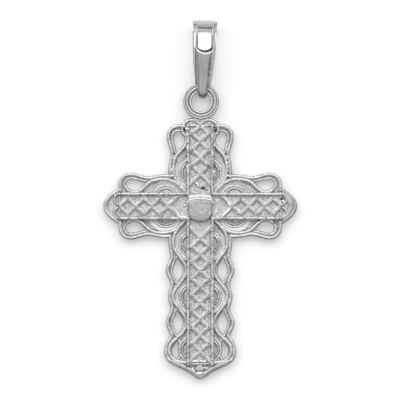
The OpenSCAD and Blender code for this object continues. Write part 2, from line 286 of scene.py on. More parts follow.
# %% [markdown]
# ## Cast metal
# The casting has a skin of fine grains where no tool reached, and a shine where its wires were polished. Each
# wire is painted darker at its foot, a painted shade, and its edge below the crest takes its own grey, on
# most wires a lighter one, as a painted highlight. The height above the table tells one from the other, so
# one recipe serves all wires. A recipe returns the colour, the roughness, the height that the bump reads and
# the bump's depth.


# %% Cast metal
def grained(sheet):
    """The ground: the grain of the mould, all over."""
    spot = sheet.place()
    fine = sheet.specks(spot, 8.5, 2.0, 0.6)
    cloud = sheet.specks(spot, 1.6, 2.0)
    colour = sheet.mix(fine * 0.8 + cloud * 0.2, 0.6, 0.74)
    return colour, 0.3 + cloud * 0.12, fine, 0.2


def drawn(foot, clear, flat, crest, edge, front=0.2, roughness=0.2, foot_shade_grey=0.4, wear=0.0):
    """A wire painted darker up to the height foot as painted shade, then clear metal, and a flat crest above
    flat.

    The crest and the edge below it are greys; an edge lighter than the crest is a painted highlight. Under
    the height front the wire shows on the other face.
    """

    def write(sheet):
        spot = sheet.place()
        z = sheet.parts(spot)[2]
        fine = sheet.specks(spot, 7.0, 2.0, 0.6)
        cloud = sheet.specks(spot, 1.1, 2.0)
        # Painted shade: below the height foot the wire is painted a darker grey. Painted highlight: the edge
        # grey under the flat crest.
        up = z.between(foot, clear) + (front - z).between(0.0, 0.06)
        dull = sheet.mix(cloud, crest * 0.85, crest * 1.15)
        bright = sheet.mix(z.between(flat - 0.03, flat), edge, dull)
        colour = sheet.mix(up, foot_shade_grey, bright)
        if wear:                     # dull patches along the wire
            patches = sheet.specks(spot, 3.5, 2.0).between(0.48, 0.6)
            colour = sheet.mix(patches * wear, colour, 0.15)
        return colour, roughness + cloud * 0.16, fine * 0.5 + cloud, 0.07

    return write


def lump(low, high):
    """A small lump of metal between two greys."""

    def write(sheet):
        cloud = sheet.specks(sheet.place(), 3.0, 1.0)
        return sheet.mix(cloud.between(0.4, 0.6), low, high), 0.18 + cloud * 0.1, cloud, 0.02

    return write


RING = Vector((0.08, 8.88, 0.72))    # the ring's middle


def turned(sheet):
    """The ring: thin dark lines of painted shade run round it and waver a little, and the inner wire's crest
    is painted darker, a painted shade too.
    """
    spot = sheet.place()
    x, y = sheet.parts(spot)[:2]
    cloud = sheet.specks(spot, 1.1, 2.0)
    out = sheet.flat_distance(x, y, (RING.x, RING.y + MIDDLE_Y))
    out = out + (sheet.specks(spot, 1.6, 1.0) - 0.5) * 0.08
    # Painted shade: dark lines at the outer edge, between the two wires, and between the inner wire and the
    # lip.
    rim = out.band(1.42, 1.45, 1.47, 1.5)
    middle = out.band(1.29, 1.32, 1.33, 1.36) * cloud.between(0.4, 0.6) * 0.8
    groove = out.band(1.01, 1.04, 1.07, 1.1)
    inner_crest = out.band(1.08, 1.14, 1.24, 1.3)
    colour = sheet.mix(inner_crest, sheet.mix(cloud, 0.35, 0.47), sheet.mix(cloud, 0.24, 0.38))
    return sheet.mix(rim + middle + groove, colour, 0.14), 0.28 + cloud * 0.16, cloud, 0.07


# %% [markdown]
# The numbers of the wires stand in the columns [foot, clear, flat, crest, edge].

# %% Finishes of the casting
ground_finish = metal("grained_ground", grained)
bead_finish = metal("beads", lump(0.5, 0.9))
# The pits are near-black beads: a painted shade that stands for the shade inside a pit.
pit_shade_finish = metal("pits", lump(0.03, 0.1))
# Each wire is painted darker below foot, a painted shade, and its edge grey is a painted highlight.
outer_finish = metal("drawn_outer_wire", drawn(0.72, 0.76, 0.815, 0.37, 0.56))
border_finish = metal("drawn_border_wire", drawn(0.70, 0.75, 0.80, 0.36, 0.56))
# The tip wires and the foot's boss are painted darker than the other wires: painted shade.
tip_shade_finish = metal("drawn_tip_wire", drawn(0.70, 0.75, 0.80, 0.29, 0.42, roughness=0.26))
rim_finish = metal("drawn_rim", drawn(0.61, 0.65, 0.71, 0.42, 0.65, front=0.24))
arc_finish = metal("drawn_arc", drawn(0.64, 0.67, 0.72, 0.42, 0.6, front=0.24))
rail_finish = metal("drawn_rail", drawn(1.0, 1.08, 1.13, 0.4, 0.4, front=0.1, roughness=0.32, wear=0.7))
trellis_finish = metal("drawn_trellis", drawn(0.98, 1.01, 1.065, 0.31, 0.65, front=0.16, roughness=0.12,
                                              foot_shade_grey=0.5))
ring_finish = metal("turned_ring", turned)
lip_finish = metal("drawn_lip", drawn(0.80, 0.86, 0.92, 0.42, 0.46, front=0.5, roughness=0.24))
# The pad's flat face is painted dark and its bevel a light grey: painted shade and a painted highlight.
pad_finish = metal("rubbed_pad", drawn(0.92, 1.0, 1.2, 0.28, 0.6, front=0.01))
# The seams and the short edges are painted a light grey: a painted highlight on raised wire.
seam_highlight_finish = metal("bright_seam", drawn(0.85, 0.9, 1.2, 0.8, 0.8, front=0.01))
dish_finish = metal("smooth_dish", drawn(0.4, 0.5, 0.6, 0.44, 0.44, front=0.3, roughness=0.45))
print("the ground's finish has", len(ground_finish.node_tree.nodes), "nodes")


# %% [markdown]
# ## Polished bail
# The bail was rolled and polished along its length, which leaves fine streaks that run up it. Painted shade
# makes a dark line along both sides and a dark arc under the window; painted highlights make a bright arc
# below it, a bright strip beside the window and a lighter crest on the fold. Behind the window the front leaf
# is painted near white as a painted reflection, with painted shade towards the fold. Each mark is a mask made
# from the place.

# %% Polished metal
BAIL_LOW, BAIL_LEN = 9.15, 6.62
BACK_HALF, BACK_SWEEP = 0.75, 62     # half the back leaf's width at the fold, and its sides' radius
AXIS_LEAN, AXIS_START = 0.035, -0.1015   # the bail's middle line is at x = AXIS_START + AXIS_LEAN * y
FOLD_Y = MIDDLE_Y + BAIL_LOW + BAIL_LEN
WINDOW_FOOT = (0.44, 13.33)          # middle of the window's round foot
PAINTED_SHADE_GREY = 0.05                    # grey of the marks


def bail_shade_lines(sheet, spot, x, y, z):
    """Painted shade: a dark line along the sides of the back leaf, blotched on the right, and the shade
    beside it.
    """
    below_fold = FOLD_Y - y
    half = BACK_HALF - below_fold * below_fold / (2 * BACK_SWEEP)
    inside = half - (x - y * AXIS_LEAN - AXIS_START).size()
    right = x.between(0.3, 0.4)
    # Painted shade: a dark line just inside each side of the back leaf, blotched on the right.
    line = inside.band(0.11, 0.14, 0.17, 0.21)
    shade_blots = sheet.specks(sheet.stretch(spot, (1.0, 0.6, 0.5)), 9.0, 2.0, 0.6).between(0.45, 0.53)
    shade_blots = shade_blots * inside.band(0.0, 0.03, 0.2, 0.28) * right
    strap = z.between(1.0, 1.2) * (1 - y.between(12.9, 13.1))
    shade = inside.between(-0.1, -0.06) * (1 - y.between(12.9, 13.0)) * (1 - right)
    return strap * line.sum("MAXIMUM", line * (1 - right * 0.5), shade_blots), shade


def window_painted_arcs(sheet, x, y, z):
    """A painted shade arc under the window, and a painted highlight arc just outside it."""
    out = sheet.flat_distance(x, y, WINDOW_FOOT)
    below_window = (1 - y.between(12.85, 13.0)) * z.between(1.0, 1.2)
    # The first mask is painted shade, the second a painted highlight.
    return out.band(0.63, 0.66, 0.80, 0.84) * below_window, out.band(0.84, 0.88, 0.96, 1.02) * below_window


def polished(sheet):
    """The bail: streaked metal, with painted shade, painted highlights and a painted reflection behind the
    window.
    """
    spot = sheet.place()
    x, y, z = sheet.parts(spot)
    streaks = sheet.specks(sheet.stretch(spot, (9.0, 0.5, 0.5)), 1.0, 3.0, 0.6)
    cloud = sheet.specks(spot, 0.8, 2.0)
    lines, shade = bail_shade_lines(sheet, spot, x, y, z)
    shade_arc, highlight_arc = window_painted_arcs(sheet, x, y, z)
    from_middle = (x - WINDOW_FOOT[0]).size()
    front_leaf = 1 - z.between(0.31, 0.36)
    window = front_leaf * (1 - from_middle.between(0.58, 0.62)) * y.between(12.5, 12.6)
    window_top = y.band(14.46, 14.5, 14.66, 14.7) * z.band(1.9, 2.0, 2.28, 2.34)
    fold_inside = y.band(14.3, 14.45, 14.75, 14.9) * (1 - z.between(1.2, 1.4))
    border = front_leaf - window     # of the front leaf, beside the back leaf
    strip = y.band(12.95, 13.15, 14.2, 14.45) * from_middle.band(0.84, 0.87, 0.94, 0.97)
    colour = sheet.mix(streaks.between(0.3, 0.7), 0.33, 0.5)
    # The fold's crest is painted an even lighter grey: a painted highlight.
    colour = sheet.mix(y.between(14.66, 14.75), colour, 0.56)
    # Painted highlight: a near-white strip on the front leaf's border beside the window.
    colour = sheet.mix(border, colour, sheet.mix(strip, 0.36, 0.96))
    # Painted shade on the front leaf's border beside the back leaf.
    colour = sheet.mix(border * shade, colour, 0.06)
    # Painted shade: the dark lines along the sides and the dark arc under the window.
    colour = sheet.mix(lines * 0.7 + shade_arc, colour, PAINTED_SHADE_GREY)
    # Painted reflection: the front leaf seen through the window and the inside of the fold are painted near
    # white; painted shade darkens the window's upper part and the wall at its top.
    painted_light = sheet.mix(window_top, sheet.mix(window * y.between(14.05, 14.5), 0.96, 0.28), 0.42)
    colour = sheet.mix(window + fold_inside + highlight_arc + window_top, colour, painted_light)
    roughness = 0.2 + streaks * 0.12 + cloud * 0.04 - window * 0.14
    return colour, roughness + (fold_inside + border) * 0.2 + window_top * 0.6, streaks, 0.01


bail_finish = metal("polished_bail", polished)

# %% [markdown]
# ## Smooth paths
# A wire bends smoothly from one place of its table to the next. A Catmull-Rom curve does that and
# passes through every place. Its points are then spread evenly, so that the wire's faces are alike.


# %% Paths
def smooth_path(places, closed=False, spacing=0.11):
    """Points spread evenly on a smooth curve through the places."""
    spots = [Vector(p) for p in places]
    count = len(spots)
    dense = []
    for i in range(count if closed else count - 1):
        reach = [(i + k) % count if closed else min(max(i + k, 0), count - 1) for k in (-1, 0, 1, 2)]
        a, b, c, d = (spots[k] for k in reach)
        for u in (step / 8 for step in range(8)):
            dense.append(0.5 * (2 * b + (c - a) * u + (2 * a - 5 * b + 4 * c - d) * u ** 2
                                + (3 * b - a - 3 * c + d) * u ** 3))
    dense.append(spots[0] if closed else spots[-1])
    run = [0.0]
    for a, b in zip(dense, dense[1:]):
        run.append(run[-1] + (b - a).length)
    steps = max(2, round(run[-1] / spacing))
    path, k = [], 0
    for step in range(steps if closed else steps + 1):
        want = run[-1] * step / steps
        while k < len(dense) - 2 and run[k + 1] < want:
            k += 1
        path.append(dense[k].lerp(dense[k + 1], min(1, (want - run[k]) / max(run[k + 1] - run[k], 1e-9))))
    return path


def on_arm(arm, path, side=1):
    """The same path on an arm of the cross, on the left or right side of the arm's middle line."""
    turn = Matrix.Rotation(math.radians(ARMS[arm]), 2)
    return [turn @ Vector((p[0], side * p[1])) for p in path]


def there_and_back(path):
    """A path that runs to an arm's tip and back on the other side."""
    return list(path) + [Vector((p[0], -p[1])) for p in reversed(path)]


# %% [markdown]
# ## Drawing a wire
# In the workshop the border is wax wire pressed on a sheet. Here a wire is a small closed outline
# that is extruded step by step along its path. Its ends shrink over a few steps to a rounded tip, and
# a ring of wire is bridged to its own start. The outline stands from the front's crest to the back's,
# so one wire makes the relief on both faces.


# %% Wires
OUTLINE_SIDES = 18


def stand(path, i, closed, half, tall, middle):
    """Matrix that sets a unit outline across the path at one of its points."""
    count = len(path)
    before = path[(i - 1) % count] if closed else path[max(i - 1, 0)]
    after = path[(i + 1) % count] if closed else path[min(i + 1, count - 1)]
    run = (after - before).normalized().to_3d()
    across = Vector((-run.y, run.x, 0))
    turn = Matrix((across, (0, 0, 1), run)).transposed().to_4x4()
    return Matrix.Translation((*path[i], middle)) @ turn @ Matrix.Diagonal((half, tall, 1, 1))


def draw_wire(path, half, low, high, closed=False, power=2.0, dome=0.1, flat=0.0):
    """A wire between two heights: upright sides under a dome, with a share of its width flat."""
    tall, middle = (high - low) / 2, (high + low) / 2
    stands = [stand(path, i, closed, half, tall, middle) for i in range(len(path))]
    if not closed:
        for end, sign in ((0, -1), (-1, 1)):
            base = stands[end]
            tips = []
            for turn in (35, 65, 85):
                lean = Matrix.Translation((0, 0, sign * math.sin(math.radians(turn)) * half))
                tips.append(base @ lean @ Matrix.Diagonal((math.cos(math.radians(turn)), 1, 1, 1)))
            stands = tips[::-1] + stands if end == 0 else stands + tips
    bm = bmesh.new()
    ring = bmesh.ops.create_circle(bm, segments=OUTLINE_SIDES, radius=1.0)["verts"]
    for v in ring:
        fall = max(abs(v.co.x) - flat, 0) / (1 - flat)
        v.co.y = math.copysign(1 - dome / tall * fall ** power, v.co.y)
    bmesh.ops.transform(bm, matrix=stands[0], verts=ring)
    first = edges = list(bm.edges)
    for before, after in zip(stands, stands[1:]):
        grown = bmesh.ops.extrude_edge_only(bm, edges=edges)["geom"]
        ring = [v for v in grown if isinstance(v, bmesh.types.BMVert)]
        new = set(ring)
        edges = [e for e in grown if isinstance(e, bmesh.types.BMEdge) and set(e.verts) <= new]
        bmesh.ops.transform(bm, matrix=after @ before.inverted(), verts=ring)
    if closed:
        bmesh.ops.bridge_loops(bm, edges=first + edges)
    else:
        bmesh.ops.edgeloop_fill(bm, edges=first)
        bmesh.ops.edgeloop_fill(bm, edges=edges)
    bmesh.ops.recalc_face_normals(bm, faces=bm.faces)
    return bm


def pour(mould, part):
    """Adds one bmesh to another and frees it."""
    mesh = bpy.data.meshes.new("part")
    part.to_mesh(mesh)
    part.free()
    mould.from_mesh(mesh)
    bpy.data.meshes.remove(mesh)


noise.seed_set(5)                    # the same unevenness in every run


def cool(bm, amount=0.008, size=0.7):
    """Small unevenness that a casting takes as it cools."""
    for v in bm.verts:
        v.co += noise.noise_vector(v.co / size) * amount
        v.co.z = max(v.co.z, 0.0)


def finish_piece(name, bm, finish, sharp=40, node="cross"):
    """Sets a piece, modelled in millimetres round the middle of the cross, in the CAD's frame."""
    place = Matrix.Scale(METRES, 4) @ Matrix.Translation((0, MIDDLE_Y, 0))
    bmesh.ops.transform(bm, matrix=place, verts=bm.verts)
    mesh = bpy.data.meshes.new(name)
    bm.to_mesh(mesh)
    bm.free()
    mesh.materials.append(finish)
    mesh.shade_smooth()
    mesh.set_sharp_from_angle(angle=math.radians(sharp))
    piece = bpy.data.objects.new(name, mesh)
    bpy.context.scene.collection.objects.link(piece)
    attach(piece, "root")
    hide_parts(node)
    triangles = sum(len(p.vertices) - 2 for p in mesh.polygons)
    print(name, triangles, "triangles")


# %% [markdown]
# ## The border's wires
# Each arm has an outer wire that swells round its ears or loops, and a winding wire inside it that
# runs over the fans and down to the rails. Both sides of an arm are alike.

# %% Border wires
WINDING = {"half": WINDING_HALF, "high": BORDER_CREST - 0.01, "power": 3.0, "dome": 0.09}
LOBE_END = -math.degrees(math.asin(LOBE_OUT / LOBE_R))      # where the top's two lobes meet


def lay(mould, arm, path, half=WIRE_HALF, high=BORDER_CREST, low=FRONT_CREST, **how):
    """Lays a wire on both sides of an arm."""
    for side in (1, -1):
        pour(mould, draw_wire(on_arm(arm, path, side), half, low, high, **how))


def lay_tip(mould, arm, places, half=WIRE_HALF, high=BORDER_CREST, **how):
    """Lays one wire round an arm's tip, from side to side."""
    path = there_and_back(smooth_path(places))
    pour(mould, draw_wire(on_arm(arm, path), half, FRONT_CREST, high, **how))


outer_wires, winding_wires, tip_wires = bmesh.new(), bmesh.new(), bmesh.new()
for arm in SHORT_ARMS:
    lay(outer_wires, arm, smooth_path(SHORT_OUTER))
    lay(winding_wires, arm, smooth_path(SHORT_WINDING), **WINDING)
for arm in ("right", "left"):
    # Only the right tip's wire takes the darker tip finish: painted shade on the right side.
    lay_tip(tip_wires if arm == "right" else outer_wires, arm, SIDE_TIP)
    lay(outer_wires, arm, smooth_path(arc_places(SHORT_PANEL, 0.58, 0.48, 100, -95)), THIN_HALF)
lay_tip(tip_wires, "right", RIGHT_BROAD, 0.27, power=1.5, dome=0.08, flat=0.3)
lay(outer_wires, "top", smooth_path(arc_places(SHORT_PANEL - LOBE_BACK, LOBE_OUT, LOBE_R, 112, LOBE_END)))
lay_tip(tip_wires, "foot", FOOT_BROAD, 0.21, BORDER_CREST + 0.01, power=1.5, dome=0.07, flat=0.4)
lay_tip(outer_wires, "foot", FOOT_OUTER)
lay(winding_wires, "foot", smooth_path(FOOT_WINDING), **WINDING)
lay(outer_wires, "foot", smooth_path(arc_places(FOOT_PANEL - LOBE_BACK, 0.95, LOBE_R, 60, -28)), THIN_HALF)
for name, wires, finish in (("outer_wires", outer_wires, outer_finish),
                            ("winding_wires", winding_wires, border_finish),
                            ("tip_wires", tip_wires, tip_shade_finish)):
    cool(wires)
    finish_piece(name, wires, finish, 60)

# %% [markdown]
# ## Fans
# Where the winding wire is far out, a fan fills the space under it: a bright arch round a small hollow
# against the rail, a low arc outside the arch, and a slanting band up to the winding wire.

# %% Fans
FANS = [(arm, SHORT_FAN) for arm in SHORT_ARMS] + [("foot", FOOT_FAN + i * FAN_PITCH) for i in range(3)]
FLOOR_DEEP = 0.5
# the tips have such floors too, in the columns [arm, along, out, radius]
TIP_FLOORS = [
    ("top", 6.51, 0.71, 0.76), ("right", 7.0, 0.4, 0.68), ("left", 7.0, 0.4, 0.68),
    ("foot", 13.3, 0.78, 0.66), ("foot", 13.6, 0.05, 0.72),
]


def arc_over(along, r, stop_out):
    """Arc round a fan's middle that stops where it comes within stop_out of the bar's middle line."""
    spread = math.degrees(math.acos((stop_out - ARCH_OUT) / r))
    return smooth_path(arc_places(along, ARCH_OUT, r, 90 - spread, 90 + spread))


def dish(arm, along, side):
    """A band that rises from the low arc to the winding wire: a slanting outline that is spun."""
    bm = bmesh.new()
    bmesh.ops.create_grid(bm, x_segments=1, y_segments=1, size=1.0)
    for v in bm.verts:
        share = (v.co.x + 1) / 2
        r, high, low = 1.16 + 0.32 * share, 0.70 + 0.06 * share, 0.15 - 0.06 * share
        v.co = Vector((r, 0, high if v.co.y > 0 else low))
    start = math.asin(0.33 / 1.3)    # it stops beside the rail
    bmesh.ops.rotate(bm, cent=(0, 0, 0), matrix=Matrix.Rotation(start, 3, "Z"), verts=bm.verts)
    bmesh.ops.spin(bm, geom=bm.faces[:], cent=(0, 0, 0), axis=(0, 0, 1), angle=math.pi - 2 * start, steps=36)
    place = Matrix.Diagonal((1, side, 1, 1)) @ Matrix.Translation((along, ARCH_OUT, 0))
    bmesh.ops.transform(bm, matrix=place, verts=bm.verts)
    turn = Matrix.Rotation(math.radians(ARMS[arm]), 3, "Z")
    bmesh.ops.rotate(bm, cent=(0, 0, 0), matrix=turn, verts=bm.verts)
    bmesh.ops.recalc_face_normals(bm, faces=bm.faces)
    return bm


def floor_disc(arm, along, out, side, r):
    """A round floor that lifts the ground between the wires."""
    spot = on_arm(arm, [(along, out)], side)[0]
    bmesh.ops.create_cone(floors, cap_ends=True, segments=40, radius1=r, radius2=r, depth=FLOOR_DEEP,
                          matrix=Matrix.Translation((*spot, FAN_FLOOR - FLOOR_DEEP / 2)))


arches, low_arcs, dishes, floors = bmesh.new(), bmesh.new(), bmesh.new(), bmesh.new()
for arm, along in FANS:
    lay(arches, arm, arc_over(along, ARCH_R - 0.01, 1.0), half=0.12, high=0.82, low=0.04, dome=0.09)
    lay(low_arcs, arm, arc_over(along, ARCH_R + 0.22, 1.05), half=0.11, high=0.75, low=0.08, dome=0.07)
    for side in (1, -1):
        if along < 12:               # the foot's last fan has an opening there
            pour(dishes, dish(arm, along, side))
        floor_disc(arm, along, ARCH_OUT, side, ARCH_R + 0.2)
for arm, along, out, r in TIP_FLOORS:
    for side in (1, -1):
        floor_disc(arm, along, out, side, r)
for name, mould, finish in (("arches", arches, border_finish), ("low_arcs", low_arcs, arc_finish),
                            ("dishes", dishes, dish_finish), ("fan_floors", floors, ground_finish)):
    cool(mould)
    finish_piece(name, mould, finish, 50)

# %% [markdown]
# ## Rims
# Every opening has a thin raised rim, whose inner side is the opening's edge.

# %% Rims
OPENINGS = [(arm, EAR_OPENING) for arm in SHORT_ARMS]
OPENINGS += [("foot", loop_opening(0)), ("foot", loop_opening(1)), ("foot", CRESCENT_OPENING)]


def widened(path, by):
    """A closed path moved outward, to the left of its run: the openings run clockwise."""
    moved = []
    for before, spot, after in zip(path[-1:] + path, path, path[1:] + path[:1]):
        run = (after - before).normalized()
        moved.append(spot + by * Vector((-run.y, run.x)))
    return moved


rims = bmesh.new()
for arm, edge in OPENINGS:
    lay(rims, arm, widened(smooth_path(edge, closed=True), 0.12), THIN_HALF, RIM_CREST, 0.08, closed=True)
cool(rims)
finish_piece("rims", rims, rim_finish, 60)

# %% [markdown]
# ## The pierced ground of the border
# One flat sheet lies under all the wires. Its outline runs along the middle of the outer wires, so the
# wires cover its edge, and its holes end under the rims. The outline and the holes are filled together
# as one flat sheet of faces, which is then extruded to its thickness.


# %% Ground of the border
def half_edge(arm):
    """Places of an arm's edge on one side, from the corner to the tip."""
    if arm == "foot":
        return smooth_path(FOOT_OUTER)
    ear = smooth_path(SHORT_OUTER)
    if arm == "top":
        return ear + smooth_path(arc_places(SHORT_PANEL - LOBE_BACK, LOBE_OUT, LOBE_R, 40, LOBE_END))
    return ear[:-2] + smooth_path(SIDE_TIP)


def thread(bm, path, z):
    """A closed line of edges through the points of a path, at height z."""
    verts = [bm.verts.new((*p, z)) for p in path]
    return [bm.edges.new(pair) for pair in zip(verts, verts[1:] + verts[:1])]


def thicken(bm, by):
    """Extrudes a flat sheet of faces upward."""
    lifted = bmesh.ops.extrude_face_region(bm, geom=bm.faces[:])["geom"]
    lifted = [v for v in lifted if isinstance(v, bmesh.types.BMVert)]
    bmesh.ops.translate(bm, vec=(0, 0, by), verts=lifted)
    bmesh.ops.recalc_face_normals(bm, faces=bm.faces)


ground = bmesh.new()
outline = []
for arm in ARMS:
    outline += on_arm(arm, there_and_back(half_edge(arm))[::-1])[:-1]
outline = [p for before, p in zip(outline[-1:] + outline, outline) if (p - before).length > 0.02]
lines = thread(ground, outline, BORDER_LOW)
for arm, edge in OPENINGS:
    for side in (1, -1):
        hole = widened(smooth_path(edge, closed=True), 0.05)
        lines += thread(ground, on_arm(arm, hole, side), BORDER_LOW)
bmesh.ops.triangle_fill(ground, use_beauty=True, use_dissolve=False, edges=lines)
thicken(ground, BORDER_GROUND - BORDER_LOW)
finish_piece("border_ground", ground, ground_finish)

# %% [markdown]
# ## The bars
# The post and the crossbar stand above the border. Each has a ground, a rail on both sides and a rail
# that closes it, a little lower. The rails go right through to the front.

# %% Bars
def block(low, high):
    """A plain block between two corners."""
    bm = bmesh.new()
    size = Vector(high) - Vector(low)
    place = Matrix.Translation((Vector(low) + Vector(high)) / 2) @ Matrix.Diagonal((*size, 1))
    bmesh.ops.create_cube(bm, size=1.0, matrix=place)
    return bm


panels = block((-RAIL_OFFSET, -FOOT_PANEL, PANEL_LOW), (RAIL_OFFSET, SHORT_PANEL, PANEL_GROUND))
for low, high in ((-SHORT_PANEL, -RAIL_OFFSET), (RAIL_OFFSET, SHORT_PANEL)):
    pour(panels, block((low, -RAIL_OFFSET, PANEL_LOW), (high, RAIL_OFFSET, PANEL_GROUND)))
finish_piece("panels", panels, ground_finish)


def bar(arm, start, end, half, low, high, **how):
    """A straight bar on an arm, with a step every 0.3 mm."""
    a, b = Vector(start), Vector(end)
    steps = max(2, round((b - a).length / 0.3))
    path = [a.lerp(b, k / steps) for k in range(steps + 1)]
    return draw_wire(on_arm(arm, path), half, low, high, **how)


RAIL_TOP = {"power": 3.0, "dome": 0.06}
rails = bmesh.new()
for arm in ARMS:
    panel = FOOT_PANEL if arm == "foot" else SHORT_PANEL
    for side in (1, -1):
        out = side * RAIL_OFFSET
        pour(rails, bar(arm, (RAIL_OFFSET, out), (panel, out), RAIL_HALF, 0.0, RAIL_CREST, **RAIL_TOP))
    start, end = (panel, -RAIL_OFFSET), (panel, RAIL_OFFSET)
    crest = RAIL_CREST - (0.21 if arm in ("foot", "right") else 0.16)
    pour(rails, bar(arm, start, end, RAIL_HALF - 0.02, 0.02, crest, **RAIL_TOP))
cool(rails, 0.006)
finish_piece("rails", rails, rail_finish, 50)

# %% [markdown]
# ## The trellis
# Flat-topped bars zigzag between the rails and cross on the middle line. Where two of them meet at the
# side, a short stub ties them to the rail. The first crossing, by the pad, and the foot's last one run
# on to the rails. The front has the same trellis.

# %% Trellis
STRAND_HALF = 0.175
TO_RAIL = RAIL_OFFSET - 0.05
trellis = bmesh.new()


def strand(arm, start, end):
    """A bar of the trellis on the back, and one under it on the front."""
    for low, high in ((PANEL_GROUND - 0.12, TRELLIS_CREST), (0.03, 0.3)):
        pour(trellis, bar(arm, start, end, STRAND_HALF, low, high, power=1.0, dome=0.038, flat=0.65))


for arm in ARMS:
    # the last crossing's number, and how far its bars run on from the middle line
    last, last_reach = (7, 0.93) if arm == "foot" else (3, -0.05)
    reach = TRELLIS_PITCH / 2
    for i in range(last + 1):
        middle = TRELLIS_START + i * TRELLIS_PITCH
        start, end = TO_RAIL if i == 0 else reach, last_reach if i == last else reach
        for side in (1, -1):
            strand(arm, (middle - start, -side * start), (middle + end, side * end))
            if i < last:
                strand(arm, (middle + reach, side * reach), (middle + reach, side * TO_RAIL))
cool(trellis, 0.006)
finish_piece("trellis", trellis, trellis_finish, 50)

# %% [markdown]
# ## The pad
# A plain rounded pad covers the crossing of the bars. It starts as a block: its upright edges are
# bevelled for the corners, wider at the bottom, and then the edge of its face is softened.


# %% Pad
def edges_where(bm, test):
    """Edges whose two ends pass a test."""
    return [e for e in bm.edges if all(test(v.co) for v in e.verts)]


def soften(bm, edges, offset, segments, clamp=True):
    """Rounds edges off."""
    bmesh.ops.bevel(bm, geom=edges, offset=offset, segments=segments, profile=0.5, affect="EDGES",
                    material=-1, clamp_overlap=clamp)


PAD_HALF, PAD_Y = Vector((1.05, 1.13)), -0.2
pad_low, pad_high = PAD_Y - PAD_HALF.y, PAD_Y + PAD_HALF.y
pad = block((-PAD_HALF.x, pad_low, PANEL_GROUND - 0.1), (PAD_HALF.x, pad_high, PAD_TOP))
for low, high, offset, segments in ((PAD_Y, pad_high, 0.35, 6), (pad_low, pad_low, 0.85, 8)):
    upright = [e for e in pad.edges if abs(e.verts[0].co.z - e.verts[1].co.z) > 0.1]
    soften(pad, [e for e in upright if low - 0.01 < e.verts[0].co.y < high + 0.01], offset, segments)
soften(pad, edges_where(pad, lambda co: co.z > PAD_TOP - 0.01), 0.14, 6)
cool(pad, 0.01, 0.9)
finish_piece("pad", pad, pad_finish)

# %% [markdown]
# Above the pad's face two seams of solder run from side to side, and one closes the foot's trellis. Beside
# the pad and at the foot's tip lie short edges of wire. All are painted a light grey, a painted highlight on
# raised wire. These tables hold places in the columns [x, y].

# %% Seams
SEAM = [(-1.04, 0.34), (-0.95, 0.53), (-0.72, 0.60), (0.0, 0.62), (0.72, 0.60), (0.97, 0.50), (1.06, 0.28)]
FOOT_SEAM = [
    (-0.62, -13.20), (-0.42, -13.12), (-0.18, -13.20), (0.05, -13.12), (0.25, -13.18), (0.45, -13.16),
]
SOLDER = [(-0.92, 0.78), (-0.70, 0.86), (-0.35, 0.82), (0.0, 0.87), (0.30, 0.82), (0.65, 0.87), (0.90, 0.76)]
EDGES = (
    [(-2.19, -0.27), (-1.98, -0.58), (-1.79, -0.86), (-1.20, -0.90)],
    [(-2.74, 0.15), (-2.47, 0.45), (-2.20, 0.76)],
    [(1.40, -0.92), (1.78, -0.96), (2.10, -0.64), (2.51, -0.23)],
    [(2.12, 0.67), (2.34, 0.36), (2.55, 0.05)],
)
TIP_EDGES = (
    [(-0.22, -14.16), (0.0, -14.22), (0.22, -14.16)], [(0.36, -13.70), (0.46, -13.80), (0.62, -13.74)],
    [(-0.66, -13.80), (-0.60, -13.92), (-0.48, -14.04)],
)
seams = bmesh.new()
for path, half, low, high in ((SEAM, 0.07, PAD_TOP - 0.2, PAD_TOP + 0.05),
                              (SOLDER, 0.12, PAD_TOP - 0.3, PAD_TOP + 0.02),
                              (FOOT_SEAM, 0.09, PANEL_GROUND - 0.1, RAIL_CREST)):
    pour(seams, draw_wire(smooth_path(path), half, low, high, dome=0.08))
for paths, low, high in ((EDGES, PANEL_GROUND - 0.1, RAIL_CREST + 0.02), (TIP_EDGES, 0.5, 0.98)):
    for path in paths:
        pour(seams, draw_wire(smooth_path(path), 0.065, low, high, power=1.0, dome=0.05, flat=0.6))
cool(seams, 0.05, 0.22)
finish_piece("seams", seams, seam_highlight_finish, 60)

# %% [markdown]
# ## The ring
# The ring is two wires side by side, with a thin lip inside them. Each is an outline that is spun once
# round the ring's middle. A short neck joins the ring to the top arm.

# %% Ring
ring_piece = bmesh.new()


def spun(radius, half, tall, round_off=0.5):
    """A ring of wire: an upright outline spun round the ring's middle."""
    bm = bmesh.new()
    place = Matrix.Translation((radius, 0, 0)) @ Matrix.Rotation(math.radians(90), 4, "X")
    outline = bmesh.ops.create_circle(bm, segments=16, radius=1.0)["verts"]
    for v in outline:
        v.co.x = math.copysign(abs(v.co.x) ** 0.7, v.co.x)
        v.co.y = math.copysign(1 - round_off * (1 - abs(v.co.y)), v.co.y)
    bmesh.ops.transform(bm, matrix=place @ Matrix.Diagonal((half, tall, 1, 1)), verts=outline)
    bmesh.ops.spin(bm, geom=bm.verts[:] + bm.edges[:], cent=(0, 0, 0), axis=(0, 0, 1), angle=math.tau,
                   steps=72, use_merge=True)
    bmesh.ops.remove_doubles(bm, verts=bm.verts, dist=1e-5)
    bmesh.ops.recalc_face_normals(bm, faces=bm.faces)
    bmesh.ops.translate(bm, vec=RING, verts=bm.verts)
    return bm


pour(ring_piece, spun(1.41, 0.103, 0.31))
pour(ring_piece, spun(1.2, 0.155, 0.31))
neck = block((-0.62, 7.16, 0.3), (0.78, 7.62, 0.84))
soften(neck, neck.edges[:], 0.12, 3)
lip = spun(0.93, 0.1, 0.23)
pour(lip, spun(1.06, 0.12, 0.14, 0.24))
for name, mould, finish in (("ring", ring_piece, ring_finish), ("ring_lip", lip, lip_finish),
                            ("ring_neck", neck, arc_finish)):
    cool(mould)
    finish_piece(name, mould, finish, 60)

